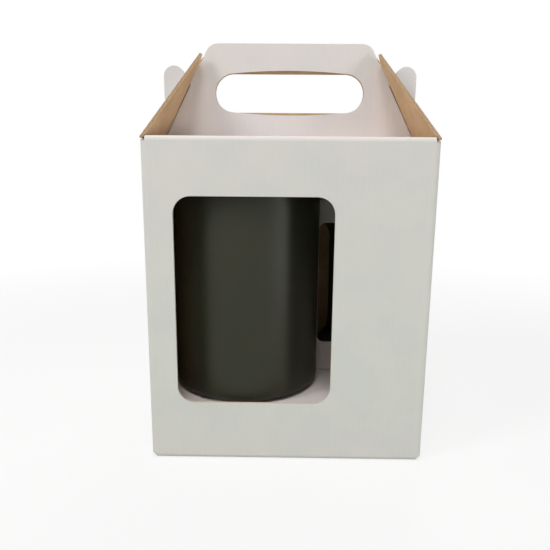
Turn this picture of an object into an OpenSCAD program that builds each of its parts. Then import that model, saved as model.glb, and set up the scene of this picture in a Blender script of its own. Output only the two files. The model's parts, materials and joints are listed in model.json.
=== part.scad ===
// Mug gift box: a folded corrugated carton with a window and a locking carry handle,
// two side flaps that hook over the handle, a folded inner card that holds the mug, and the mug.
// The window faces -Y, the box stands on Z = 0, and X = 0, Y = 0 is the middle of its base.

/* [Mug] */
// Outside diameter of the mug's body
mug_d = 86; // [80:1:92]
// Height of the mug from foot to rim
mug_h = 118; // [106:1:124]
// Thickness of the mug's side
mug_wall = 4; // [3:0.5:5.5]
// Thickness of the mug's bottom
mug_base_t = 7; // [6:0.5:10]
// Radius of the mug's rounded foot
foot_r = 5.5; // [3:0.5:8]
// Height of the finger gap in the mug's handle
finger_h = 76; // [60:1:78]
// Room for the fingers between the mug's body and its grip
finger_room = 22; // [18:1:24]
// Width of the grip, from side to side
grip_w = 13; // [10:0.5:15]
// Thickness of the grip, from the fingers outward
grip_t = 8; // [6:0.5:9]
// Radius of the bends where the grip turns in to the body
grip_bend = 14; // [12:0.5:16]
// Height of the middle of the mug's handle above its foot
grip_mid = 56; // [54:1:60]

/* [Carton] */
// Thickness of the corrugated board
board_t = 1.6; // [1.3:0.1:2]
// Room inside to the left of the mug
side_room = 5; // [3:0.5:10]
// Room inside to the right of the mug, where its handle goes
handle_room = 53.8; // [48:0.1:66]
// Room inside in front of the mug and behind it
depth_room = 4.4; // [4:0.1:8]
// Free height above the mug's rim
head_room = 24.5; // [18:0.1:40]
// Outside radius of the four upright corners
corner_r = 2.4; // [2.1:0.1:4]
// Width of the glued lap inside the rear left corner
lap_w = 13; // [9:1:16]
// Distance of the glued lap's lower end from the bottom crease
lap_foot = 8; // [4:1:20]
// Distance of the glued lap's upper end from the top crease
lap_head = 6; // [4:1:20]
// Taper at both ends of the glued lap
lap_taper = 4; // [2:0.5:8]

/* [Window] */
// Width of the window
window_w = 82; // [60:1:90]
// Height of the window
window_h = 110.6; // [80:0.1:116]
// Distance of the window from the carton's left side
window_left = 15.2; // [12:0.1:26]
// Height of the window's lower edge above the table
window_low = 32.9; // [30:0.1:40]
// Corner radius of the window
window_r = 9; // [4:0.5:14]

/* [Carry handle] */
// Height of the carry handle above the roof
handle_h = 52.5; // [49:0.5:60]
// Radius of the carry handle's top corners
handle_r = 7.5; // [5:0.5:10]
// Length of the hand hole
hole_w = 83.8; // [70:0.1:86]
// Height of the hand hole's straight part
hole_h = 21.1; // [17:0.1:23]
// Height of the hand hole's lower edge above the roof
hole_low = 15.6; // [12:0.1:17]
// How far the front hole's long edges bow out in the middle
hole_bow = 1.5; // [0.5:0.1:2.5]
// Height of the neck's lower edge, where the side flap hooks under it
neck_low = 30.6; // [27:0.1:33]
// Height of the neck's upper edge, where it comes out through the side flap
neck_top = 43.6; // [42:0.1:46]
// Height of the notch between the ear and the handle's shoulder
notch_h = 37; // [36:0.1:40]
// Height of the middle of the ear's round top
ear_h = 34.9; // [34:0.1:38]
// Radius of the ear's round top
ear_r = 5.8; // [5:0.1:6.5]
// Distance of the ear's outer edge from the carton's side
ear_inset = 3; // [2:0.1:5]
// Height of the hook's lower tip above the roof
hook_low = 20.5; // [18:0.1:23]
// Radius at the hook's lower tip
hook_r = 2.5; // [1.5:0.1:3]

/* [Side flaps] */
// Lean of a closed side flap from upright, in degrees
flap_lean = 27.1; // [25:0.1:29]
// Length of a side flap from its crease to its tips
flap_len = 52.9; // [50:0.1:58]
// Distance of each flap tip from the middle of the flap
tip_out = 6; // [4:0.5:9]
// Depth of the V between the two tips
mouth_h = 4.5; // [2:0.5:8]
// Free width of the slot on each side of the carry handle
slot_gap = 0.7; // [0.5:0.1:1.2]
// Clearance between a side flap and the handle's slanted edge
flap_gap = 0.35; // [0.3:0.05:0.8]
// Clearance between a side flap's crease and the wall below it
hinge_gap = 0.15; // [0.1:0.05:0.3]
// Clearance between the slot's closed end and the hook's tip
hook_gap = 1.5; // [1.2:0.1:2.5]

/* [Lock bottom] */
// Length of the step where a bottom flap rises over the one below it
step_run = 2.4; // [2:0.1:3]
// Share of the depth that the front bottom flap covers
front_cover = 0.62; // [0.56:0.01:0.66]
// Share of the depth that the rear bottom flap covers
rear_cover = 0.56; // [0.52:0.01:0.6]
// Length of the side bottom flaps
side_cover = 42; // [34:1:46]
// Width of the locking tongue
tongue_w = 44; // [30:1:50]
// Length of the locking tongue past the front bottom flap's edge
tongue_len = 22; // [18:1:26]
// Free width on each side of the tongue in its slot
tongue_gap = 1.5; // [1:0.1:3]

/* [Inner card] */
// Thickness of the inner card
card_t = 1.6; // [1.2:0.1:2]
// Height of the inner card's floor above the table
floor_h = 28.9; // [24:0.1:34]
// Clearance between the inner card and the carton
card_gap = 0.4; // [0.3:0.1:1]
// Outside radius of the inner card's folds
card_bend = 2.4; // [2.2:0.1:3.5]
// Height of the inner card's upright above its floor
upright_h = 110; // [98:1:120]
// Distance of the handle guard behind the mug's middle
guard_back = 12; // [9:0.5:13]
// Width of the strip between the mug and the guard's slot
guard_strip = 2; // [1.5:0.1:4]
// Height of the guard's slot above the inner floor
guard_slot_low = 19; // [14:1:24]
// Height of the guard's slot
guard_slot_h = 77; // [60:1:80]
// Width of the guard's slot
guard_slot_w = 40; // [30:1:42]
// Corner radius of the guard's slot
guard_slot_r = 4; // [2:0.5:8]
// Clearance between the mug and the guard
mug_gap = 0.6; // [0.4:0.1:1.5]
// Clearance between the mug's handle and the rear wall
grip_gap = 3; // [2:0.1:4]

/* [Hidden] */
$fn = 96;

// Inside and outside of the carton, which follow the mug
inner_w = side_room + mug_d + handle_room;
inner_d = 2 * depth_room + mug_d;
carton_w = inner_w + 2 * board_t;
carton_d = inner_d + 2 * board_t;
carton_h = floor_h + mug_h + head_room + board_t;

// Crease bends: the flap's crease bead lies in the bend's height, clear of the wall below it
bend_r = 1.5 * board_t + hinge_gap;
axis_x = carton_w / 2 - board_t / 2;
axis_z = carton_h - board_t / 2;

// Half the width between the two closed side flaps, at height h above the roof
function between_flaps(h) =
    axis_x - (board_t / 2 + flap_gap) / cos(flap_lean) - (h + board_t / 2) * tan(flap_lean);

// Where the hook's inner edge stands at height h: past the flap, with the same clearance
function past_flap(h) =
    between_flaps(h) + (board_t + 2 * flap_gap) / cos(flap_lean);

roof_half = min(between_flaps(0), carton_w / 2 - corner_r);
ear_out = carton_w / 2 - ear_inset;
ear_mid = ear_out - ear_r;
shoulder_h = handle_h - handle_r + handle_r * sin(flap_lean);
corner_proud = 0.05;
shoulder_mid = between_flaps(shoulder_h) - (handle_r - corner_proud) * cos(flap_lean);

// The slot ends short of the hook's tip, as measured from the crease
slot_w = 2 * board_t + 2 * slot_gap;
slot_end = norm([axis_x - ear_out, hook_low + board_t / 2]) - hook_gap;
flap_half = carton_d / 2 - board_t / 2;

// Window, measured from the carton's middle
window_x = -carton_w / 2 + window_left + window_w / 2;
window_z = window_low + window_h / 2;

// Lock bottom: the front flap lies on the table, the side flaps on it, and the rear flap on those
crease_w = carton_w - 2 * corner_r;
crease_d = carton_d - 2 * corner_r;
corner_gap = 0.4;
step_end = bend_r + step_run;
flap_w = carton_w - 2 * (step_end + corner_gap);
front_edge = -carton_d / 2 + front_cover * carton_d;
rear_edge = carton_d / 2 - rear_cover * carton_d;
end_taper = 12;

// Mug and its handle, turned back until it stands clear of the rear wall
mug_r = mug_d / 2;
mug_x = -inner_w / 2 + side_room + mug_r;
rim_r = mug_wall / 2;
grip_reach = mug_r + finger_room + grip_t;
grip_corner = norm([grip_reach, grip_w / 2]);
grip_turn = asin((inner_d / 2 - grip_gap) / grip_corner) - atan(grip_w / 2 / grip_reach);

// Inner card
card_left = -inner_w / 2 + card_gap;
card_right = inner_w / 2 - card_gap;
card_front = -inner_d / 2 + card_gap;
card_rear = inner_d / 2 - board_t - card_gap;
upright_top = floor_h + upright_h;
guard_left = mug_x + sqrt(mug_r * mug_r - pow(guard_back - card_t / 2, 2)) + mug_gap;
leg_gap = 0.3;

// A rectangle with round corners, centred
module rounded_rect(w, d, r) {
    square([w - 2 * r, d], center = true);
    square([w, d - 2 * r], center = true);
    for (x = [-1, 1], y = [-1, 1])
        translate([x * (w / 2 - r), y * (d / 2 - r)]) circle(r);
}

// Stand a drawing made in Y and Z up on end and give it a width along X
module along_x(width) {
    rotate([90, 0, 90]) linear_extrude(width, center = true) children();
}

// Stand a drawing made in X and Z up and give it a depth along Y
module along_y(depth) {
    rotate([90, 0, 0]) linear_extrude(depth, center = true) children();
}

// A quarter bend of board from an upright on the left to a level panel on top of it
module bend_section(r, t) {
    intersection() {
        difference() {
            circle(r);
            circle(r - t);
        }
        translate([-r, 0]) square(r);
    }
}

// The four walls, with the window
module walls() {
    difference() {
        translate([0, 0, bend_r]) linear_extrude(carton_h - 2 * bend_r) difference() {
            rounded_rect(carton_w, carton_d, corner_r);
            rounded_rect(inner_w, inner_d, corner_r - board_t);
        }
        translate([window_x, -carton_d / 2, window_z]) along_y(4 * board_t)
            rounded_rect(window_w, window_h, window_r);
    }
    for (side = [-1, 1])
        translate([side * axis_x, 0, carton_h - bend_r]) along_y(crease_d) intersection() {
            circle(d = board_t);
            translate([-board_t / 2, 0]) square(board_t);
        }
}

// The glued lap, folded in from the left wall and stuck to the inside of the rear wall
module glue_lap() {
    lap_low = bend_r + lap_foot;
    lap_top = carton_h - bend_r - lap_head;
    lap_x = -inner_w / 2;
    translate([0, inner_d / 2 - board_t / 2, 0]) along_y(board_t)
        polygon([
            [lap_x, lap_low], [lap_x + lap_w, lap_low + lap_taper],
            [lap_x + lap_w, lap_top - lap_taper], [lap_x, lap_top]
        ]);
}

// A roof panel with its crease, for the front when side is -1 and the rear when it is 1
module roof_panel(side) {
    mirror([0, side > 0 ? 1 : 0, 0]) {
        translate([0, -carton_d / 2 + bend_r, carton_h - bend_r])
            along_x(2 * roof_half) bend_section(bend_r, board_t);
        translate([-roof_half, -carton_d / 2 + bend_r, carton_h - board_t])
            cube([2 * roof_half, carton_d / 2 - bend_r, board_t]);
    }
}

// Half of the carry handle's outline, on the +X side of its middle
module handle_half() {
    polygon([
        [0, -board_t], [roof_half, -board_t], [roof_half, 0],
        [between_flaps(shoulder_h), shoulder_h], [shoulder_mid, handle_h - handle_r],
        [shoulder_mid, handle_h], [0, handle_h]
    ]);
    translate([shoulder_mid, handle_h - handle_r]) circle(handle_r);
    ear();
}

// The ear: a neck through the side flap's slot, a round top and a hook hanging outside the flap
module ear() {
    hook_mid = hook_low + hook_r;
    hook_in = past_flap(hook_mid);
    root = 1;
    root_x = between_flaps(neck_top) - root;
    translate([ear_mid, ear_h]) circle(ear_r);
    translate([ear_out - hook_r, hook_mid]) circle(hook_r);
    polygon([
        [root_x, neck_low], [past_flap(neck_low), neck_low], [hook_in, hook_mid],
        [hook_in + hook_r / 2, hook_low], [ear_out - hook_r, hook_low], [ear_out - hook_r, hook_mid],
        [ear_out, hook_mid], [ear_out, ear_h], [ear_mid, ear_h],
        [past_flap(notch_h), notch_h], [root_x, neck_top + root]
    ]);
}

// The hand hole, with its long edges bowed out by bow in the middle
module hand_hole(bow) {
    straight = hole_w - hole_h;
    for (side = [-1, 1]) translate([side * straight / 2, 0]) circle(d = hole_h);
    square([straight, hole_h], center = true);
    if (bow > 0) {
        bow_r = (straight * straight / 4 + bow * bow) / (2 * bow);
        intersection() {
            square([straight, hole_h + 2 * bow], center = true);
            translate([0, hole_h / 2 + bow - bow_r]) circle(bow_r);
            translate([0, bow_r - hole_h / 2 - bow]) circle(bow_r);
        }
    }
}

// One handle panel, folded up from its roof panel at the middle of the depth
module handle_panel(side) {
    translate([0, side * board_t / 2, carton_h]) along_y(board_t) difference() {
        union() {
            handle_half();
            mirror([1, 0]) handle_half();
        }
        translate([0, hole_low + hole_h / 2]) hand_hole(side < 0 ? hole_bow : 0);
    }
}

// The bend that turns in from the foot of a wall on the left
module bottom_bend(half_size) {
    translate([-half_size + bend_r, bend_r]) mirror([0, 1]) bend_section(bend_r, board_t);
}

// The step that lifts a bottom flap by rise, just in from its bend
module bottom_step(half_size, rise) {
    polygon([
        [-half_size + bend_r, 0], [-half_size + step_end, rise],
        [-half_size + step_end, rise + board_t], [-half_size + bend_r, board_t]
    ]);
}

// The front bottom flap, lowest of all, with the tongue that locks over the rear flap
module front_bottom() {
    along_x(crease_w) bottom_bend(carton_d / 2);
    linear_extrude(board_t) polygon([
        [-flap_w / 2, -carton_d / 2 + bend_r], [flap_w / 2, -carton_d / 2 + bend_r],
        [flap_w / 2 - end_taper, front_edge], [-flap_w / 2 + end_taper, front_edge]
    ]);
    along_x(tongue_w) polygon([
        [front_edge, 0], [front_edge + tongue_len / 2, 3 * board_t],
        [front_edge + tongue_len, 3 * board_t], [front_edge + tongue_len, 4 * board_t],
        [front_edge + tongue_len / 2, 4 * board_t], [front_edge, board_t]
    ]);
}

// The rear bottom flap, highest of the three, with the slot that the tongue rises through
module rear_bottom() {
    start = carton_d / 2 - step_end;
    slot_half = tongue_w / 2 + tongue_gap;
    slot_back = front_edge + tongue_len / 2;
    mirror([0, 1, 0]) {
        along_x(crease_w) bottom_bend(carton_d / 2);
        along_x(flap_w) bottom_step(carton_d / 2, 2 * board_t);
    }
    translate([0, 0, 2 * board_t]) linear_extrude(board_t) polygon([
        [-flap_w / 2, start], [flap_w / 2, start], [flap_w / 2 - end_taper, rear_edge],
        [slot_half, rear_edge], [slot_half, slot_back], [-slot_half, slot_back],
        [-slot_half, rear_edge], [-flap_w / 2 + end_taper, rear_edge]
    ]);
}

// The left bottom flap, between the front flap and the rear flap
module side_bottom() {
    long = carton_d - 2 * (bend_r + corner_gap);
    root_x = -carton_w / 2 + step_end;
    rear_y = carton_d / 2 - step_end - corner_gap;
    along_y(long) {
        bottom_bend(carton_w / 2);
        bottom_step(carton_w / 2, board_t);
    }
    translate([0, 0, board_t]) linear_extrude(board_t) polygon([
        [root_x, -long / 2], [root_x + side_cover, -long / 4],
        [root_x + side_cover, long / 4], [root_x, rear_y]
    ]);
}

// The walls, the glued lap and the lock bottom
module carton() {
    color("whitesmoke") {
        walls();
        glue_lap();
        for (side = [0, 1]) mirror([side, 0, 0]) side_bottom();
        front_bottom();
        rear_bottom();
    }
}

// The roof panels with the carry handle, which stand on the front and rear walls' top creases
module roof_handle() {
    color("whitesmoke") for (side = [-1, 1]) {
        roof_panel(side);
        handle_panel(side);
    }
}

// A side flap upright on its crease, which lies along Y at Z = 0
module flap() {
    rotate([90, 0, 0]) cylinder(d = board_t, h = 2 * flap_half, center = true);
    along_x(board_t) difference() {
        polygon([
            [-flap_half, 0], [-tip_out, flap_len], [-slot_w / 2, flap_len - mouth_h],
            [slot_w / 2, flap_len - mouth_h], [tip_out, flap_len], [flap_half, 0]
        ]);
        translate([0, slot_end + slot_w / 2]) circle(d = slot_w);
        translate([-slot_w / 2, slot_end + slot_w / 2]) square([slot_w, flap_len]);
    }
}

module left_flap() {
    color("burlywood")
        translate([-axis_x, 0, axis_z]) rotate([0, flap_lean, 0]) flap();
}

module right_flap() {
    color("burlywood")
        translate([axis_x, 0, axis_z]) rotate([0, -flap_lean, 0]) flap();
}

// The inner card's raised floor, with a leg folded down at the front and the rear
module card_floor() {
    long = card_right - card_left - card_bend;
    mid_x = card_left + long / 2;
    front_foot = 2 * board_t + leg_gap;
    rear_foot = 3 * board_t + leg_gap;
    translate([card_left, card_front + card_bend, floor_h - card_t])
        cube([long, card_rear - card_front - 2 * card_bend, card_t]);
    for (leg = [[card_front, 0, front_foot], [card_rear, 1, rear_foot]])
        translate([mid_x, leg[0], 0]) mirror([0, leg[1], 0]) {
            translate([0, card_bend, floor_h - card_bend])
                along_x(long) bend_section(card_bend, card_t);
            translate([-long / 2, 0, leg[2]])
                cube([long, card_t, floor_h - card_bend - leg[2]]);
        }
}

// The upright that folds up from the floor and stands along the right wall
module card_upright() {
    deep = guard_back + card_t / 2 - card_bend - (card_front + card_bend);
    mid_y = card_front + card_bend + deep / 2;
    translate([card_right - card_bend, mid_y, floor_h - card_t + card_bend])
        mirror([1, 0, 0]) mirror([0, 0, 1]) along_y(deep) bend_section(card_bend, card_t);
    translate([card_right - card_t, mid_y - deep / 2, floor_h - card_t + card_bend])
        cube([card_t, deep, upright_h + card_t - card_bend]);
}

// The guard that folds off the upright and screens the mug's handle, with its slot
module card_guard() {
    low = floor_h + leg_gap;
    high = upright_top - low;
    wide = card_right - card_bend - guard_left;
    fold_low = floor_h + card_bend;
    slot_x = guard_left + guard_strip + guard_slot_w / 2;
    slot_z = floor_h + guard_slot_low + guard_slot_h / 2;
    translate([card_right - card_bend, guard_back + card_t / 2 - card_bend, fold_low])
        linear_extrude(upright_top - fold_low)
            mirror([1, 0]) bend_section(card_bend, card_t);
    difference() {
        translate([guard_left, guard_back - card_t / 2, low]) cube([wide, card_t, high]);
        translate([slot_x, guard_back, slot_z]) along_y(3 * card_t)
            rounded_rect(guard_slot_w, guard_slot_h, guard_slot_r);
    }
}

module inner_card() {
    color("ivory") {
        card_floor();
        card_upright();
        card_guard();
    }
}

// The mug's turned body: a straight side on a rounded foot, hollow, with a round rim
module mug_body() {
    inner_r = mug_r - mug_wall;
    difference() {
        rotate_extrude() {
            translate([0, foot_r]) square([mug_r, mug_h - foot_r - rim_r]);
            square([mug_r - foot_r, mug_h - rim_r]);
            translate([mug_r - foot_r, foot_r]) circle(foot_r);
            translate([mug_r - rim_r, mug_h - rim_r]) circle(rim_r);
        }
        rotate_extrude() {
            translate([0, mug_base_t]) square([inner_r - foot_r, mug_h]);
            translate([0, mug_base_t + foot_r]) square([inner_r, mug_h]);
            translate([inner_r - foot_r, mug_base_t + foot_r]) circle(foot_r);
        }
    }
}

// The grip's rounded section, centred
module grip_section() {
    square([grip_t, grip_w - grip_t], center = true);
    for (side = [-1, 1]) translate([0, side * (grip_w - grip_t) / 2]) circle(d = grip_t);
}

// The mug's handle, pointing along +X, from the body out round the finger gap and back
module mug_handle() {
    straight_h = finger_h + grip_t - 2 * grip_bend;
    grip_x = mug_r + finger_room + grip_t / 2;
    arm_x = mug_r - mug_wall / 2;
    translate([grip_x, 0, grip_mid]) linear_extrude(straight_h, center = true) grip_section();
    for (end = [0, 1]) translate([0, 0, grip_mid]) mirror([0, 0, end]) {
        translate([grip_x - grip_bend, 0, straight_h / 2]) rotate([90, 0, 0])
            rotate_extrude(angle = 90) translate([grip_bend, 0]) grip_section();
        translate([arm_x, 0, straight_h / 2 + grip_bend]) rotate([0, 90, 0])
            linear_extrude(grip_x - grip_bend - arm_x) grip_section();
    }
}

module mug() {
    color("darkslategray")
        translate([mug_x, 0, floor_h]) rotate([0, 0, grip_turn]) {
            mug_body();
            mug_handle();
        }
}

carton();
roof_handle();
left_flap();
right_flap();
inner_card();
mug();
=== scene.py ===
# %% [markdown]
# # A mug gift box
#
# This lesson dresses a packed model of a corrugated gift box. The walls, flaps, inner card and mug
# come in at their real size and stay where they are, and the steps below give them their finishes.
# Only the mug is made again, with a better handle, in the place of the packed one.

# %% Load the model
import json
import math

import bmesh
import bpy
from mathutils import Matrix, Vector

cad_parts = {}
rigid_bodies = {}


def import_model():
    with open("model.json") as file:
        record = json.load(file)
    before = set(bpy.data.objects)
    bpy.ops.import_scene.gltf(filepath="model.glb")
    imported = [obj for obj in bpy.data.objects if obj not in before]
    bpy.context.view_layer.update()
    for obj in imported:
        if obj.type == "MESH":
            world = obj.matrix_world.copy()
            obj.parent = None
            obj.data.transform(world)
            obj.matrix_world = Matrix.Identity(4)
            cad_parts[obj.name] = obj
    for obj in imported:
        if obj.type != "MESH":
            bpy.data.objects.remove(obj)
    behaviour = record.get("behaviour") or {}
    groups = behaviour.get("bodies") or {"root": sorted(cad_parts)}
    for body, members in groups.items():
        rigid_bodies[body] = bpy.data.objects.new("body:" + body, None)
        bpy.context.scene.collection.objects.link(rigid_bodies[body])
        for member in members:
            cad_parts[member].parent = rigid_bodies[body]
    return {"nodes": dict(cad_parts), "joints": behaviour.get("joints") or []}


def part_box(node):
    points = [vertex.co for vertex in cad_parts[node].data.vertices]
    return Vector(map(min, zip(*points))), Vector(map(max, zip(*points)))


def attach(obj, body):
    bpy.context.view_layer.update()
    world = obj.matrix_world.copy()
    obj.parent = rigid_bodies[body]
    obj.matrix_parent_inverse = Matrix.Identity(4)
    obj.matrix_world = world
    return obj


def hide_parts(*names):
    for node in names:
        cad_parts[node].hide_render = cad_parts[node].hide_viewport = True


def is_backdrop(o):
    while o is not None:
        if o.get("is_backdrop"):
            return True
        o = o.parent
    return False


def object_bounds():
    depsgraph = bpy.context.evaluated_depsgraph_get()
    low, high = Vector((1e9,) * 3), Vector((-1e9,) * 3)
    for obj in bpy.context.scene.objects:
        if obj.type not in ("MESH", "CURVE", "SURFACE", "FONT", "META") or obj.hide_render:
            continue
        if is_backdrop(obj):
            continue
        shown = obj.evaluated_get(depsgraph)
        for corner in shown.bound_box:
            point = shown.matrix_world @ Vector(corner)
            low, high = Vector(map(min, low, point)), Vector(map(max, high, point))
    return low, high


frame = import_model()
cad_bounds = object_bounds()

MM = 0.001
print("nodes:", sorted(frame["nodes"]))

# %% [markdown]
# The sizes that the finishes need are measured on the model, so they follow it if it changes.
# The board's thickness can't be read off the corner of a box. It comes from the hinges of
# the side flaps, which lie in the middle of the board, half a board in from the side
# and half a board below the roof.

# %% Measure the box
carton_low, carton_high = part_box("carton")
HALF_W = carton_high.x
HALF_D = carton_high.y
LEFT_HINGE, RIGHT_HINGE = (Vector(j["pos_m"]) for j in frame["joints"])
BOARD = 2 * (HALF_W - RIGHT_HINGE.x)
ROOF = RIGHT_HINGE.z + BOARD / 2

print(f"board {BOARD / MM:.2f} mm, roof at {ROOF / MM:.1f} mm")

# %% [markdown]
# The camera comes first. It stands where the photograph was taken from, a little below the roof
# and close to the box, so the upright edges lean together towards the table.
# The lens is worked out from the picture's width and the sharpness of that leaning.

# %% Camera
IMAGE_WIDTH = 550
FOCAL_PIXELS = 525
SENSOR_WIDTH = 36
CAMERA_PLACE = Vector((-3.9, -313.2, 157.0)) * MM
CAMERA_DOWN = math.radians(11.39)
CAMERA_LEFT = math.radians(0.65)
CAMERA_ROLL = math.radians(0.46)


def make_camera():
    """A camera from its place, how far it looks down and left, and its roll."""
    data = bpy.data.cameras.new("camera")
    data.sensor_width = SENSOR_WIDTH
    data.lens = FOCAL_PIXELS * SENSOR_WIDTH / IMAGE_WIDTH
    data.clip_start = 0.01
    camera = bpy.data.objects.new("camera", data)
    bpy.context.scene.collection.objects.link(camera)
    level = Vector((-math.sin(CAMERA_LEFT), math.cos(CAMERA_LEFT), 0))
    side = Vector((level.y, -level.x, 0))
    ahead = level * math.cos(CAMERA_DOWN) - Vector((0, 0, math.sin(CAMERA_DOWN)))
    over = side.cross(ahead)
    right = side * math.cos(CAMERA_ROLL) + over * math.sin(CAMERA_ROLL)
    up = over * math.cos(CAMERA_ROLL) - side * math.sin(CAMERA_ROLL)
    turn = Matrix((right, up, -ahead)).transposed()
    camera.matrix_world = Matrix.Translation(CAMERA_PLACE) @ turn.to_4x4()
    bpy.context.scene.camera = camera
    return camera


camera = make_camera()
bpy.context.scene.view_settings.view_transform = "Standard"
print(f"lens {camera.data.lens:.1f} mm")

# %% [markdown]
# A finish is a graph of shader nodes. Wiring each node by hand hides what the graph says,
# so a small class writes it as arithmetic: every method adds one node and returns its output.
# Positions are in the piece's own metres, so a pattern stays on the board when a flap turns.

# %% A helper that writes node graphs
NOISE_ROUGHNESS = 0.55


class Graph:
    """Builds one material's nodes. Sockets, numbers and colours can be mixed freely."""

    def __init__(self, name):
        self.material = bpy.data.materials.new(name)
        self.material.use_nodes = True
        self.tree = self.material.node_tree
        self.tree.nodes.clear()
        self.shader = self.add("ShaderNodeBsdfPrincipled")
        output = self.add("ShaderNodeOutputMaterial")
        self.tree.links.new(self.shader.outputs[0], output.inputs["Surface"])
        self.place = self.add("ShaderNodeTexCoord").outputs["Object"]
        self.facing = self.tree.nodes["Texture Coordinate"].outputs["Normal"]

    def add(self, kind, **settings):
        node = self.tree.nodes.new(kind)
        for key, value in settings.items():
            setattr(node, key, value)
        return node

    def feed(self, socket, value):
        if isinstance(value, bpy.types.NodeSocket):
            self.tree.links.new(value, socket)
        elif isinstance(value, tuple) and len(value) == 3 and socket.type == "RGBA":
            socket.default_value = (*value, 1)
        else:
            socket.default_value = value

    def math(self, operation, a, b=0.0, c=None):
        node = self.add("ShaderNodeMath", operation=operation)
        self.feed(node.inputs[0], a)
        self.feed(node.inputs[1], b)
        if c is not None:
            self.feed(node.inputs[2], c)
        return node.outputs[0]

    def split(self, vector):
        node = self.add("ShaderNodeSeparateXYZ")
        self.feed(node.inputs[0], vector)
        return node.outputs[0], node.outputs[1], node.outputs[2]

    def dot(self, vector, direction):
        node = self.add("ShaderNodeVectorMath", operation="DOT_PRODUCT")
        self.feed(node.inputs[0], vector)
        self.feed(node.inputs[1], tuple(direction))
        return node.outputs["Value"]

    def stretch(self, vector, scale):
        node = self.add("ShaderNodeVectorMath", operation="MULTIPLY")
        self.feed(node.inputs[0], vector)
        self.feed(node.inputs[1], scale)
        return node.outputs[0]

    def ramp(self, value, low, high, to_low=0.0, to_high=1.0):
        node = self.add("ShaderNodeMapRange", interpolation_type="SMOOTHSTEP")
        for socket, number in zip(node.inputs, (value, low, high, to_low, to_high)):
            self.feed(socket, number)
        return node.outputs[0]

    def above(self, value, limit):
        return self.math("GREATER_THAN", value, limit)

    def both(self, *masks):
        result = masks[0]
        for mask in masks[1:]:
            result = self.math("MULTIPLY", result, mask)
        return result

    def either(self, a, b):
        return self.math("MAXIMUM", a, b)

    def opposite(self, mask):
        return self.math("SUBTRACT", 1.0, mask)

    def size(self, value):
        return self.math("ABSOLUTE", value)

    def noise(self, vector, scale, detail):
        node = self.add("ShaderNodeTexNoise")
        node.inputs["Roughness"].default_value = NOISE_ROUGHNESS
        for key, value in (("Vector", vector), ("Scale", scale), ("Detail", detail)):
            self.feed(node.inputs[key], value)
        return node.outputs["Fac"]

    def mix(self, factor, a, b):
        node = self.add("ShaderNodeMix", data_type="RGBA")
        self.feed(node.inputs["Factor"], factor)
        self.feed(node.inputs[6], a)
        self.feed(node.inputs[7], b)
        return node.outputs[2]

    def bump(self, height, distance):
        node = self.add("ShaderNodeBump")
        self.feed(node.inputs["Height"], height)
        self.feed(node.inputs["Distance"], distance)
        self.feed(self.shader.inputs["Normal"], node.outputs[0])

    def finish(self, colour, roughness, **sockets):
        self.feed(self.shader.inputs["Base Color"], colour)
        self.feed(self.shader.inputs["Roughness"], roughness)
        for key, value in sockets.items():
            self.feed(self.shader.inputs[key.replace("_", " ")], value)
        return self.material


print("graph calls:", ", ".join(name for name in vars(Graph) if not name.startswith("_")))

# %% [markdown]
# Corrugated board is three papers glued together: a white liner outside, a brown kraft liner inside,
# and a wavy paper between them. The wave shows through the white liner as faint upright ribs
# about 3 mm apart, and at every cut edge the three papers can be seen end on.
# Pictures of board could be wrapped round the pieces, but they blur close up and show seams.
# A pattern worked out from the place on the piece does neither.

# %% The papers of the board
WHITE_PAPER = (0.80, 0.745, 0.725)
WHITE_COOL = (0.755, 0.725, 0.715)
# Painted highlight: the paler white painted on folds, where light catches the rounded crease.
WHITE_FOLD_HIGHLIGHT = (0.87, 0.82, 0.775)
KRAFT_LIGHT = (0.64, 0.435, 0.255)
KRAFT_DARK = (0.54, 0.355, 0.195)
KRAFT_FIBRE = (0.24, 0.14, 0.07)
EDGE_LINER = (0.86, 0.78, 0.68)
# Painted shade: the gap colours of the cut edges are the shade inside the flutes' hollows.
EDGE_HOLLOW_SHADE = (0.70, 0.58, 0.45)
EDGE_KRAFT = (0.48, 0.33, 0.19)
EDGE_KRAFT_HOLLOW_SHADE = (0.36, 0.24, 0.14)
FLUTE_PITCH = 3.2 * MM
MOTTLE_SCALE = 42.0
MOTTLE_SHARE = 0.75
# Painted shade: how much darker the white liner is painted over the hollows of the flutes.
HOLLOW_SHADE_SHARE = 0.10
KRAFT_CLOUDS = 60.0
KRAFT_STREAKS = (900.0, 900.0, 160.0)
STREAK_SHARE = 0.45


def flute_wave(g, along):
    """A wave from -1 to 1 with one crest for each flute."""
    return g.math("SINE", g.math("MULTIPLY", along, 2 * math.pi / FLUTE_PITCH))


def white_liner(g, wave):
    """Smooth white paper, slightly mottled, with painted shade a trace darker over each hollow of the flutes.
    """
    mottle = g.ramp(g.noise(g.place, MOTTLE_SCALE, 4.0), 0.35, 0.68, 0.0, MOTTLE_SHARE)
    # Painted shade over each hollow of the flutes.
    hollow_shade = g.ramp(wave, -1.0, 1.0, 0.0, HOLLOW_SHADE_SHARE)
    return g.mix(g.math("ADD", mottle, hollow_shade), WHITE_PAPER, WHITE_COOL)


def kraft_liner(g):
    """Brown paper: broad clouds, and short fibres that run up the board."""
    streaks = g.noise(g.stretch(g.place, KRAFT_STREAKS), 1.0, 3.0)
    clouds = g.noise(g.place, KRAFT_CLOUDS, 4.0)
    body = g.mix(g.ramp(clouds, 0.30, 0.70), KRAFT_LIGHT, KRAFT_DARK)
    return g.mix(g.ramp(streaks, 0.56, 0.80, 0.0, STREAK_SHARE), body, KRAFT_FIBRE)


print(f"flutes every {FLUTE_PITCH / MM:.1f} mm")

# %% [markdown]
# A cut edge is drawn by distance. The wavy paper swings about the middle of the board,
# and whatever is far from it and from both liners is a hollow, painted darker as its shade.
#
# One function then writes the whole board. It is told which parts of a piece are the kraft side
# and which are cut edges, and everything else is the white liner. The ribs and the grain
# of the paper are a bump, because they stand out by less than a tenth of a millimetre.

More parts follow.
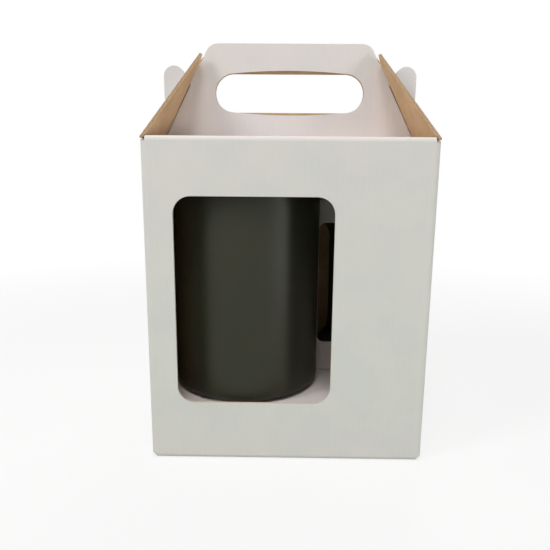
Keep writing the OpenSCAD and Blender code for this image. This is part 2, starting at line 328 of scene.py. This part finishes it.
# %% The cut edge and the whole board
WAVE_SWING = 0.30
PAPER_EDGES = (0.10, 0.24)
BOARD_RELIEF = 0.04 * MM
RIB_SHARE = 0.35
GRAIN_SCALE = 1400.0
GLOSS_SCALE = 90.0
BOARD_ROUGHNESS = (0.62, 0.74)
BOARD_SHINE = 0.32


def cut_edge(g, across, wave, papers):
    """The board end on: two liners with the wavy paper between them, and painted shade where it is hollow."""
    middle = g.math("MULTIPLY_ADD", wave, WAVE_SWING, 0.5)
    from_wave = g.size(g.math("SUBTRACT", across, middle))
    from_liner = g.math("SUBTRACT", 0.5, g.size(g.math("SUBTRACT", across, 0.5)))
    # Painted shade in the hollows between the flutes.
    hollow_shade = g.both(g.ramp(from_wave, *PAPER_EDGES), g.ramp(from_liner, *PAPER_EDGES))
    return g.mix(hollow_shade, *papers)


def board(name, kraft_side, edge, across, along, crush_and_highlight, edge_papers=(EDGE_LINER, EDGE_HOLLOW_SHADE)):
    """One board finish. kraft_side and edge are masks, across runs 0 to 1 through the thickness,
    along runs across the flutes, and the crush mask is 1 where a crease has flattened them
    and where the fold gets a painted highlight, a paler white."""
    g = Graph(name)
    wave = flute_wave(g, along(g))
    # Painted highlight: where the crush mask marks a fold, the white liner is painted paler.
    white = g.mix(crush_and_highlight(g), white_liner(g, wave), WHITE_FOLD_HIGHLIGHT)
    face = g.mix(kraft_side(g), white, kraft_liner(g))
    colour = g.mix(edge(g), face, cut_edge(g, across(g), wave, edge_papers))
    ribs = g.both(g.math("MULTIPLY", wave, RIB_SHARE), g.opposite(crush_and_highlight(g)))
    grain = g.math("MULTIPLY", g.noise(g.place, GRAIN_SCALE, 2.0), 1.0 - RIB_SHARE)
    g.bump(g.math("ADD", ribs, grain), BOARD_RELIEF)
    roughness = g.ramp(g.noise(g.place, GLOSS_SCALE, 3.0), 0.3, 0.7, *BOARD_ROUGHNESS)
    return g.finish(colour, roughness, Specular_IOR_Level=BOARD_SHINE)


def dress(node, material):
    """Give a packed node one finish in place of the plain one it came with."""
    piece = frame["nodes"][node]
    piece.data.materials.clear()
    piece.data.materials.append(material)
    print("finish on", node, "->", material.name)


print(f"relief of the board {BOARD_RELIEF / MM:.2f} mm")

# %% [markdown]
# The carton is one sheet, so its kraft side is simply the side that faces the hollow.
# Whatever lies within the inner box and looks inward is kraft; the undersides of the bottom flaps
# lie there too, but they look down, and are white. The two handle panels lie face to face,
# with their kraft sides together. Faces could be picked one by one in the editor,
# but a rule about places goes on working when the carton's size changes.

# %% The kraft side of the carton
HAIR = 0.12 * MM
EDGE_FACING = 0.6
BOTTOM_TOP = 8 * MM


def within(g, value, low, high):
    return g.both(g.above(value, low), g.above(high, value))


def carton_kraft(g):
    x, y, z = g.split(g.place)
    nx, ny, nz = g.split(g.facing)
    inside = g.both(
        g.above(HALF_W - BOARD + HAIR, g.size(x)),
        g.above(HALF_D - BOARD + HAIR, g.size(y)),
        g.above(ROOF - BOARD + HAIR, z),
    )
    under_flap = g.both(g.above(BOTTOM_TOP, z), g.above(-EDGE_FACING, nz))
    inside = g.both(inside, g.opposite(under_flap))
    between = g.both(g.above(BOARD - HAIR, g.size(y)), g.above(g.size(ny), EDGE_FACING))
    return g.either(inside, g.both(g.above(z, ROOF), between))


print(f"kraft inside x {(HALF_W - BOARD) / MM:.1f} mm and y {(HALF_D - BOARD) / MM:.1f} mm")

# %% [markdown]
# Cut edges lie strictly between the two faces of a board and look along it: at the window,
# round the hand hole, along the ears, at the ends of the roof and on the flaps of the lock bottom.

# %% The cut edges of the carton
BEND = 2.6 * MM
LOCK_TOP = 7 * MM
LOCK_FACING = 0.3
SIDE_CLEAR = HALF_W - 5 * MM
WINDOW_BAND = (20 * MM, ROOF - 10 * MM)
ROOF_ENDS = (SIDE_CLEAR, HALF_W - 2 * MM)


def lock_edge(g):
    """The cut ends of the lock bottom's flaps, which show from below."""
    x, y, z = g.split(g.place)
    nx, ny, nz = g.split(g.facing)
    inboard = g.both(g.above(HALF_W - BEND, g.size(x)), g.above(HALF_D - BEND, g.size(y)))
    return g.both(inboard, g.above(LOCK_TOP, z), g.above(LOCK_FACING, g.size(nz)))


def carton_edge(g):
    x, y, z = g.split(g.place)
    nx, ny, nz = g.split(g.facing)
    in_wall = within(g, g.size(y), HALF_D - BOARD + HAIR, HALF_D - HAIR)
    window = g.both(in_wall, g.above(EDGE_FACING, g.size(ny)), g.above(SIDE_CLEAR, g.size(x)))
    window = g.both(window, within(g, z, *WINDOW_BAND))
    handle = g.both(
        g.above(z, ROOF - BOARD + HAIR),
        g.above(BOARD - HAIR, g.size(y)),
        g.above(EDGE_FACING, g.size(ny)),
    )
    roof_end = g.both(g.above(g.size(nx), EDGE_FACING), within(g, z, ROOF - BOARD, ROOF + HAIR))
    roof_end = g.both(roof_end, within(g, g.size(x), *ROOF_ENDS))
    return g.either(g.either(window, handle), g.either(roof_end, lock_edge(g)))


print("window edges are looked for from {:.0f} to {:.0f} mm up".format(*(z / MM for z in WINDOW_BAND)))

# %% [markdown]
# The edge pattern also needs to know how deep in the board a point lies, and which way
# the flutes run past it. In a wall the depth is read from y, in the handle from its middle plane,
# and in the flat bottom flaps from z. The flutes stand upright, so the way across them
# is x on the front and y on the sides. The fold above the front and rear walls is crushed flat,
# which smooths its ribs, and it is painted as the palest line of the box: a painted highlight
# where light catches the rounded fold.

# %% Depth, flutes and folds of the carton
SIDE_FACING = 0.7
FOLD_LINE = (ROOF - 1.4 * MM, ROOF - 0.6 * MM)


def carton_across(g):
    x, y, z = g.split(g.place)
    in_wall = g.above(g.size(y), HALF_D - BOARD)
    wall = g.math("DIVIDE", g.math("SUBTRACT", g.size(y), HALF_D - BOARD), BOARD)
    handle = g.math("DIVIDE", g.size(y), BOARD)
    layer = g.math("FRACT", g.math("DIVIDE", z, BOARD))
    upper = g.either(g.both(in_wall, wall), g.both(g.opposite(in_wall), handle))
    low = g.above(LOCK_TOP, z)
    return g.math("ADD", g.both(low, layer), g.both(g.opposite(low), upper))


def carton_along(g):
    x, y, z = g.split(g.place)
    nx, ny, nz = g.split(g.facing)
    side_wall = g.both(g.above(g.size(nx), SIDE_FACING), g.above(g.size(x), HALF_W - BOARD - HAIR))
    return g.math("ADD", g.both(side_wall, y), g.both(g.opposite(side_wall), x))


# The band along the top fold: the ribs are smoothed there, and the liner gets a painted highlight.
def carton_crush_and_highlight(g):
    x, y, z = g.split(g.place)
    by_wall = g.above(g.size(y), HALF_D - BEND)
    return g.both(by_wall, g.ramp(z, *FOLD_LINE))


CARTON_MASKS = (carton_kraft, carton_edge, carton_across, carton_along, carton_crush_and_highlight)
KRAFT_EDGES = (EDGE_KRAFT, EDGE_KRAFT_HOLLOW_SHADE)
dress("carton", board("carton_board", *CARTON_MASKS))
# Painted shade: the roof handle takes the darker kraft edge papers, so the edges of its hand hole are painted
# as if in shade.
dress("roof_handle", board("roof_board_shaded_edges", *CARTON_MASKS, KRAFT_EDGES))

# %% [markdown]
# A side flap is flat, so one direction tells its two sides apart: the one it faces at rest.
# The packed flap leans in over its crease. Measuring from the crease along that direction
# gives the depth in the board, and the kraft side is the one that looks down at the roof.
# The flap's own coordinates turn with it, so its finish stays put when it opens.

# %% Finish of the side flaps
FLAP_FACING = 0.5
FLAP_FOLD = (0.6 * MM, 1.6 * MM)


def flap_board(node, hinge, side):
    """The finish of the flap on the left (side -1) or the right (side 1)."""
    low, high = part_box(node)
    top_in = high.x if side < 0 else low.x
    lean = math.atan2(abs(top_in - hinge.x) - BOARD / 2, high.z - hinge.z)
    outward = Vector((side * math.cos(lean), 0, math.sin(lean)))
    fold = [hinge.z + height for height in FLAP_FOLD]
    print(f"{node} leans {math.degrees(lean):.1f} degrees")

    def depth(g):
        from_middle = g.math("SUBTRACT", g.dot(g.place, outward), outward.dot(hinge))
        return g.math("ADD", g.math("DIVIDE", from_middle, BOARD), 0.5)

    def kraft(g):
        return g.above(0.5, depth(g))

    def edge(g):
        return g.above(FLAP_FACING, g.size(g.dot(g.facing, outward)))

    def along(g):
        return g.split(g.place)[1]

    # The band by the hinge: the ribs are smoothed there, and the white side gets a painted highlight.
    def crush_and_highlight(g):
        x, y, z = g.split(g.place)
        return g.ramp(z, *fold, 1.0, 0.0)

    return board(node + "_board", kraft, edge, depth, along, crush_and_highlight, KRAFT_EDGES)


dress("left_flap", flap_board("left_flap", LEFT_HINGE, -1))
dress("right_flap", flap_board("right_flap", RIGHT_HINGE, 1))

# %% [markdown]
# The inner card is white on the side towards the mug: the top of its floor, the upright's left face
# and the front of the guard. Its other faces are kraft, like the carton's. It is cut from
# the same board, so the same function writes it, and only the masks are its own.

# %% Finish of the inner card
card_low, card_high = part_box("inner_card")
mug_low, mug_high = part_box("mug")
FLOOR = mug_low.z
CARD = BOARD
GUARD_Y = 12 * MM
GUARD_EDGE_END = card_high.x - 4 * MM
GUARD_FRONT = -0.5
CARD_FOLD = (2 * MM, 4 * MM)


def card_kraft(g):
    x, y, z = g.split(g.place)
    nx, ny, nz = g.split(g.facing)
    below = g.above(FLOOR - CARD / 2, z)
    right = g.above(x, card_high.x - CARD / 2)
    behind = g.both(g.above(y, GUARD_Y), g.above(z, FLOOR + HAIR), g.above(ny, GUARD_FRONT))
    return g.either(g.either(below, right), behind)


def card_edge(g):
    x, y, z = g.split(g.place)
    nx, ny, nz = g.split(g.facing)
    guard = within(g, y, GUARD_Y - CARD / 2 + HAIR, GUARD_Y + CARD / 2 - HAIR)
    guard = g.both(guard, g.above(EDGE_FACING, g.size(ny)), g.above(z, FLOOR + HAIR))
    return g.both(guard, g.above(GUARD_EDGE_END, x))


def card_across(g):
    x, y, z = g.split(g.place)
    return g.math("DIVIDE", g.math("SUBTRACT", y, GUARD_Y - CARD / 2), CARD)


def card_along(g):
    return g.split(g.place)[0]


# The band along the card's fold: the ribs are smoothed there, and the white side gets a painted highlight.
def card_crush_and_highlight(g):
    x, y, z = g.split(g.place)
    return g.ramp(g.math("SUBTRACT", card_high.x, x), *CARD_FOLD, 1.0, 0.0)


dress("inner_card", board("card_board", card_kraft, card_edge, card_across, card_along, card_crush_and_highlight))

# %% [markdown]
# The mug is the one piece that is made again. The packed mug has the right size, but its handle
# meets the body at a hard corner, and a potter's handle flares out there.
# The body could be a cylinder with bevels. A lathe is better, because one profile
# holds the foot ring, the thin side, the round rim and the curve of the floor inside.

# %% The mug's sizes and its profile
MUG_R = -mug_low.y
MUG_H = mug_high.z - mug_low.z
MUG_AXIS = Vector((mug_low.x + MUG_R, 0, mug_low.z))
MUG_WALL = 4 * MM
MUG_BASE = 7 * MM
FOOT_R = 5.5 * MM
RING_W = 5 * MM
RING_DEPTH = 1.2 * MM


def arc(middle_x, middle_z, radius, start, end, steps):
    """Points of an arc from one angle to another, in degrees."""
    angles = [math.radians(start + (end - start) * i / steps) for i in range(steps + 1)]
    return [(middle_x + radius * math.cos(a), middle_z + radius * math.sin(a)) for a in angles]


def mug_profile():
    """From the middle of the foot out, up the side, over the rim and down to the floor inside."""
    inside = MUG_R - MUG_WALL
    rim = MUG_WALL / 2
    ring = MUG_R - FOOT_R - RING_W
    return (
        [(0, RING_DEPTH)]
        + arc(ring - RING_DEPTH, 0, RING_DEPTH, 90, 0, 5)
        + arc(MUG_R - FOOT_R, FOOT_R, FOOT_R, 270, 360, 12)
        + arc(MUG_R - rim, MUG_H - rim, rim, 0, 180, 12)
        + arc(inside - FOOT_R, MUG_BASE + FOOT_R, FOOT_R, 360, 270, 10)
        + [(0, MUG_BASE)]
    )


print(f"mug {2 * MUG_R / MM:.0f} mm across and {MUG_H / MM:.0f} mm high, {len(mug_profile())} profile points")

# %% [markdown]
# A lathe turns the profile into rings and joins each ring to the next one.
# A sweep does the same with rings that are carried along a path, so both share one joining function.

# %% Joining rings into a skin
MUG_TURNS = 144


def skin(form, rings):
    """Join each ring of vertices to the next. A ring of one vertex is a point on the axis."""
    for low, high in zip(rings, rings[1:]):
        count = max(len(low), len(high))
        for i in range(count):
            j = (i + 1) % count
            corners = [low[i % len(low)], low[j % len(low)], high[j % len(high)], high[i % len(high)]]
            form.faces.new(dict.fromkeys(corners))


def new_piece(name, form):
    """An object from a finished bmesh, with its faces turned outward."""
    bmesh.ops.recalc_face_normals(form, faces=form.faces)
    mesh = bpy.data.meshes.new(name)
    form.to_mesh(mesh)
    form.free()
    piece = bpy.data.objects.new(name, mesh)
    bpy.context.scene.collection.objects.link(piece)
    return piece


def make_mug_body():
    form = bmesh.new()
    turns = [2 * math.pi * i / MUG_TURNS for i in range(MUG_TURNS)]
    rings = []
    for r, z in mug_profile():
        around = turns if r > 0 else turns[:1]
        ring = [MUG_AXIS + Vector((r * math.cos(a), r * math.sin(a), z)) for a in around]
        rings.append([form.verts.new(place) for place in ring])
    skin(form, rings)
    return new_piece("mug_body", form)


mug_piece = make_mug_body()
print("mug body:", len(mug_piece.data.polygons), "faces")

# %% [markdown]
# A potter presses a flat oval strap on at both ends, and it flares where it meets the body.
# A curve with a bevel could make it, but its section would keep one size. A sweep of rings
# can swell at the ends. Its path runs out from the body, round the fingers and back.
# The packed handle tells which way it points: its farthest vertices from the mug's axis
# are the ones on the grip.

# %% The path of the mug's handle
FINGER_H = 76 * MM
FINGER_ROOM = 22 * MM
GRIP_W = 13 * MM
GRIP_T = 8 * MM
GRIP_BEND = 14 * MM
GRIP_MID = 56 * MM
FLARE = 0.45
FLARE_LEN = 9 * MM
GRIP_REACH = MUG_R + FINGER_ROOM + GRIP_T / 2
ARM_STEPS = 8
BEND_STEPS = 14
OVAL_STEPS = 10


def grip_turn():
    """The direction of the packed handle, seen from above."""
    places = [v.co - MUG_AXIS for v in frame["nodes"]["mug"].data.vertices]
    farthest = max(math.hypot(p.x, p.y) for p in places)
    grip = [p for p in places if math.hypot(p.x, p.y) > farthest - 0.1 * MM]
    return math.atan2(sum(p.y for p in grip), sum(p.x for p in grip))


def grip_path():
    """Points and directions along the middle of the handle, from the lower joint to the upper."""
    root = MUG_R - MUG_WALL / 2
    bend_x = GRIP_REACH - GRIP_BEND
    half = (FINGER_H + GRIP_T) / 2
    arm = [root + (bend_x - root) * i / ARM_STEPS for i in range(ARM_STEPS)]
    lower = arc(bend_x, -half + GRIP_BEND, GRIP_BEND, 270, 360, BEND_STEPS)
    upper = arc(bend_x, half - GRIP_BEND, GRIP_BEND, 0, 90, BEND_STEPS)
    line = [(x, -half) for x in arm] + lower + upper + [(x, half) for x in reversed(arm)]
    ends = [line[0]] + line + [line[-1]]
    ways = [Vector((b[0] - a[0], b[1] - a[1])).normalized() for a, b in zip(ends, ends[2:])]
    return list(zip(line, ways))


HANDLE_TURN = grip_turn()
print(f"handle turned {math.degrees(HANDLE_TURN):.1f} degrees, {len(grip_path())} rings")

# %% [markdown]
# The strap's ends reach into the wall of the mug, and a union joins the two and drops what is inside,
# so that the glaze runs over one closed skin.

# %% Sweep the handle and join it to the body
def make_mug_handle(turn):
    form = bmesh.new()
    sideways = Vector((-math.sin(turn), math.cos(turn), 0))
    outward = Vector((math.cos(turn), math.sin(turn), 0))
    flat = (GRIP_W - GRIP_T) / 2
    oval = arc(flat, 0, GRIP_T / 2, -90, 90, OVAL_STEPS) + arc(-flat, 0, GRIP_T / 2, 90, 270, OVAL_STEPS)
    rings = []
    for (x, z), way in grip_path():
        near = max(0.0, 1 - (x - MUG_R) / FLARE_LEN)
        swell = 1 + FLARE * min(near, 1.0) ** 2
        middle = MUG_AXIS + outward * x + Vector((0, 0, GRIP_MID + z))
        over = outward * -way.y + Vector((0, 0, way.x))
        rings.append([form.verts.new(middle + (sideways * u + over * v) * swell) for u, v in oval])
    skin(form, rings)
    form.faces.new(rings[0])
    form.faces.new(rings[-1])
    return new_piece("mug_handle", form)


def fuse(piece, other):
    """Join two closed meshes into one and drop what lies inside either."""
    step = piece.modifiers.new("fuse", "BOOLEAN")
    step.operation = "UNION"
    step.solver = "EXACT"
    step.object = other
    view = bpy.context.evaluated_depsgraph_get()
    mesh = bpy.data.meshes.new_from_object(piece.evaluated_get(view))
    piece.modifiers.clear()
    piece.data = mesh
    bpy.data.objects.remove(other)


fuse(mug_piece, make_mug_handle(HANDLE_TURN))
mug_piece.name = "glazed_mug"
print("mug and handle:", len(mug_piece.data.polygons), "faces")

# %% [markdown]
# The glaze is a satin olive black. Such a glaze is never quite even: it is a little thinner
# and browner on the rim and the foot, it carries faint clouds, and its gloss varies with them.
# One flat colour would be the quick way, but then the mug looks like plastic in the window.

# %% Finish of the mug
GLAZE = (0.036, 0.035, 0.023)
GLAZE_THIN = (0.056, 0.049, 0.032)
GLAZE_ROUGHNESS = (0.42, 0.48)
GLAZE_SHINE = 0.22
CLOUD_SCALE = 30.0
RIPPLE_SCALE = 260.0
RIPPLE_DEPTH = 0.03 * MM
RIM_BAND = (mug_high.z - 2.2 * MM, mug_high.z)
FOOT_BAND = (FLOOR + 1.5 * MM, FLOOR + 5 * MM)
SOFT_ANGLE = math.radians(40)


def glaze():
    g = Graph("satin_glaze")
    x, y, z = g.split(g.place)
    clouds = g.noise(g.place, CLOUD_SCALE, 4.0)
    rim = g.ramp(z, *RIM_BAND, 0.0, 0.8)
    foot = g.ramp(z, *FOOT_BAND, 0.5, 0.0)
    thin = g.either(g.either(rim, foot), g.ramp(clouds, 0.52, 0.85, 0.0, 0.35))
    g.bump(g.noise(g.place, RIPPLE_SCALE, 2.0), RIPPLE_DEPTH)
    gloss = g.ramp(clouds, 0.3, 0.7, *GLAZE_ROUGHNESS)
    return g.finish(g.mix(thin, GLAZE, GLAZE_THIN), gloss, Specular_IOR_Level=GLAZE_SHINE)


mug_piece.data.materials.clear()
mug_piece.data.materials.append(glaze())
mug_piece.data.shade_smooth()
mug_piece.data.set_sharp_from_angle(angle=SOFT_ANGLE)
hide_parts("mug")
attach(mug_piece, "box")
print("glaze on", mug_piece.name)

# %% [markdown]
# Soft light from four sides. The left lamp lights the front from the side and throws the left flap's
# shadow on the handle. The one above makes the roof and its front crease the brightest parts.
# The right one is low and small, and reaches the mug through the window. A weak one behind
# keeps the rear wall from going dark. One even dome would be simpler, but the handle would
# have no shadow then and the mug no highlight.

# %% Lamps
def area_lamp(name, place, target, size, watts, colour=(1, 1, 1)):
    """A round lamp that faces a target."""
    data = bpy.data.lights.new(name, "AREA")
    data.shape = "DISK"
    data.size = size
    data.energy = watts
    data.color = colour
    lamp = bpy.data.objects.new(name, data)
    bpy.context.scene.collection.objects.link(lamp)
    way = Vector(target) - Vector(place)
    lamp.matrix_world = Matrix.Translation(place) @ way.to_track_quat("-Z", "Y").to_matrix().to_4x4()
    print(name, "at", place)


area_lamp("left", (-0.85, -0.55, 0.72), (0, 0, 0.15), 0.40, 5.0)
area_lamp("above", (-0.06, -0.50, 1.25), (0, 0, 0.15), 0.40, 5.6, (1.0, 0.965, 0.945))
area_lamp("right", (1.03, -0.66, 0.10), (0, 0, 0.09), 0.24, 3.4)
area_lamp("behind", (0.30, 1.00, 0.55), (0, 0, 0.14), 0.60, 3.0)

# %% [markdown]
# The fill is the world's own light. Its strength is what pale paper in the shade needs.
# A world that looks white would wash the box out with its light, so the world asks what kind
# of ray arrives, and is white only to the camera, in reflections and through glass.

# %% The world
FILL = 0.28
SEEN_BY = ("Is Camera Ray", "Is Glossy Ray", "Is Transmission Ray")


def direct_look(tree):
    """1 for rays from the camera, from polished surfaces and from glass."""
    path = tree.nodes.new("ShaderNodeLightPath")
    seen = path.outputs[SEEN_BY[0]]
    for ray in SEEN_BY[1:]:
        either = tree.nodes.new("ShaderNodeMath")
        either.operation = "MAXIMUM"
        tree.links.new(seen, either.inputs[0])
        tree.links.new(path.outputs[ray], either.inputs[1])
        seen = either.outputs[0]
    return seen


def make_world():
    world = bpy.data.worlds.new("studio")
    world.use_nodes = True
    bpy.context.scene.world = world
    tree = world.node_tree
    background = tree.nodes["Background"]
    background.inputs["Color"].default_value = (1, 1, 1, 1)
    strength = tree.nodes.new("ShaderNodeMapRange")
    strength.inputs["To Min"].default_value = FILL
    strength.inputs["To Max"].default_value = 1.0
    tree.links.new(direct_look(tree), strength.inputs["Value"])
    tree.links.new(strength.outputs[0], background.inputs["Strength"])


make_world()
print("fill", FILL)

# %% [markdown]
# The floor does two jobs. To the light it is plain grey paper, a little green in front of the box,
# where the lower front shows such a tint. To the camera and in reflections it is mostly white,
# and keeps a quarter of its real shading, which is enough to show the box's soft shadow.
# Farther out that shadow fades, so that no horizon shows.

# %% The floor
FLOOR_HALF = 6
FLOOR_SHADE = 0.25
SHADE_FADES = (0.25, 0.7)
FLOOR_NEAR = (0.49, 0.57, 0.50)
FLOOR_GREEN = (0.46, 0.70, 0.52)
GREEN_FADES = (-0.12, -0.06)
FLOOR_FAR = (0.55, 0.53, 0.52)
NEAR_FADES = (0.2, 0.6)
FLOOR_PALE = (0.92, 0.92, 0.92)


def floor_paper():
    """Plain paper in what it does to light, nearly white in how it looks."""
    g = Graph("pale_floor")
    x, y, z = g.split(g.place)
    away = g.math("SQRT", g.math("ADD", g.math("MULTIPLY", x, x), g.math("MULTIPLY", y, y)))
    tree = g.tree

    def paper(colour):
        node = g.add("ShaderNodeBsdfDiffuse")
        g.feed(node.inputs["Color"], colour)
        return node

    def mix(share, a, b):
        node = g.add("ShaderNodeMixShader")
        g.feed(node.inputs[0], share)
        tree.links.new(a.outputs[0], node.inputs[1])
        tree.links.new(b.outputs[0], node.inputs[2])
        return node

    shade = g.ramp(away, *SHADE_FADES, FLOOR_SHADE, 0.0)
    shown = mix(shade, g.add("ShaderNodeEmission"), paper(FLOOR_PALE))
    near = g.mix(g.ramp(y, *GREEN_FADES, 1.0, 0.0), FLOOR_NEAR, FLOOR_GREEN)
    bounce = paper(g.mix(g.ramp(away, *NEAR_FADES), near, FLOOR_FAR))
    whole = mix(direct_look(tree), bounce, shown)
    tree.links.new(whole.outputs[0], tree.nodes["Material Output"].inputs["Surface"])
    tree.nodes.remove(g.shader)
    return g.material


def make_floor():
    form = bmesh.new()
    bmesh.ops.create_grid(form, x_segments=1, y_segments=1, size=FLOOR_HALF)
    floor = new_piece("floor", form)
    floor.data.materials.append(floor_paper())
    floor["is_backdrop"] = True


make_floor()
print("floor", 2 * FLOOR_HALF, "m across")

# %% [markdown]
# The last cell writes the size of the packed box and of the dressed one side by side,
# so that a piece that stands too proud shows at once.

# %% Sizes, and the end
def corners(bounds):
    return [[round(v, 5) for v in corner] for corner in bounds]


sizes = {"cad": corners(cad_bounds), "dressed": corners(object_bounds())}
print(sizes)
